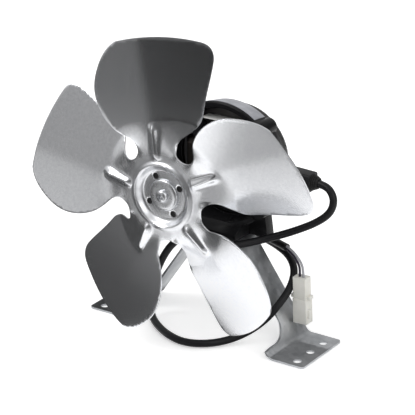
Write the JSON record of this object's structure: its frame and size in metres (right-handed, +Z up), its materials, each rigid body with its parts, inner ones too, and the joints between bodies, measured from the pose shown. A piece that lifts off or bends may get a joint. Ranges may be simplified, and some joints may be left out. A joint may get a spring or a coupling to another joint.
{
  "type": "fan motor",
  "caption": "Small shaded-pole motor on a folded foot bracket, driving a pitched-blade stamped fan, with a loose cable and a white connector.",
  "frame": {"origin": "centre of the foot holes on the floor plane", "axes": "+Z up, the fan faces -Y with the shaft along Y, the cable leaves the motor toward +X"},
  "size_m": [0.1994, 0.1253, 0.2092],
  "materials": {
    "blade_aluminium": "satin",
    "black_casting": "gloss",
    "lamination": "satin",
    "copper_winding": "satin",
    "white_nylon": "satin",
    "bright_steel": "satin",
    "zinc_plate": "satin",
    "black_steel": "satin",
    "turned_aluminium": "satin",
    "black_rubber": "matte",
    "natural_nylon": "satin",
    "bearing_bronze": "satin",
    "felt": "matte",
    "black_plastic": "satin",
    "silver_band": "satin",
    "galvanised_sheet": "satin",
    "cable_jacket": "satin",
    "dark_wire": "satin",
    "light_wire": "satin",
    "cream_nylon": "satin",
    "contact_brass": "satin"
  },
  "bodies": {
    "motor": {"front_shield": "black_casting", "rear_shield": "black_casting", "stator_core": "lamination", "coil_1": "copper_winding", "coil_2": "copper_winding", "coil_3": "copper_winding", "coil_4": "copper_winding", "bobbin_1": "white_nylon", "bobbin_2": "white_nylon", "bobbin_3": "white_nylon", "bobbin_4": "white_nylon", "front_bearing": "bearing_bronze", "rear_bearing": "bearing_bronze", "front_oil_felt": "felt", "rear_oil_felt": "felt", "front_bearing_retainer": "bright_steel", "rear_bearing_retainer": "bright_steel", "rear_cap": "black_plastic", "tie_bolts": "zinc_plate", "rating_band": "silver_band", "cable_plug": "black_plastic", "strain_relief": "black_rubber", "bracket": "galvanised_sheet", "bracket_washers": "zinc_plate", "bracket_screws": "zinc_plate", "cable": "cable_jacket", "wire_dark": "dark_wire", "wire_light": "light_wire", "connector_socket": "cream_nylon", "connector_plug": "cream_nylon", "contacts": "contact_brass"},
    "fan_rotor": {"fan": "blade_aluminium", "fan_washer": "zinc_plate", "fan_screw": "zinc_plate", "hub_adapter": "turned_aluminium", "adapter_grub_screw": "black_steel", "rotor_shaft": "bright_steel", "rotor_core": "lamination", "shaft_slinger": "black_rubber", "front_thrust_washer": "natural_nylon", "rear_thrust_washer": "natural_nylon"}
  },
  "joints": [
    {"name": "fan_spin", "type": "hinge", "parent": "motor", "child": "fan_rotor", "pos_m": [0, 0, 0.1092], "axis": [0, 1, 0], "continuous": true}
  ]
}
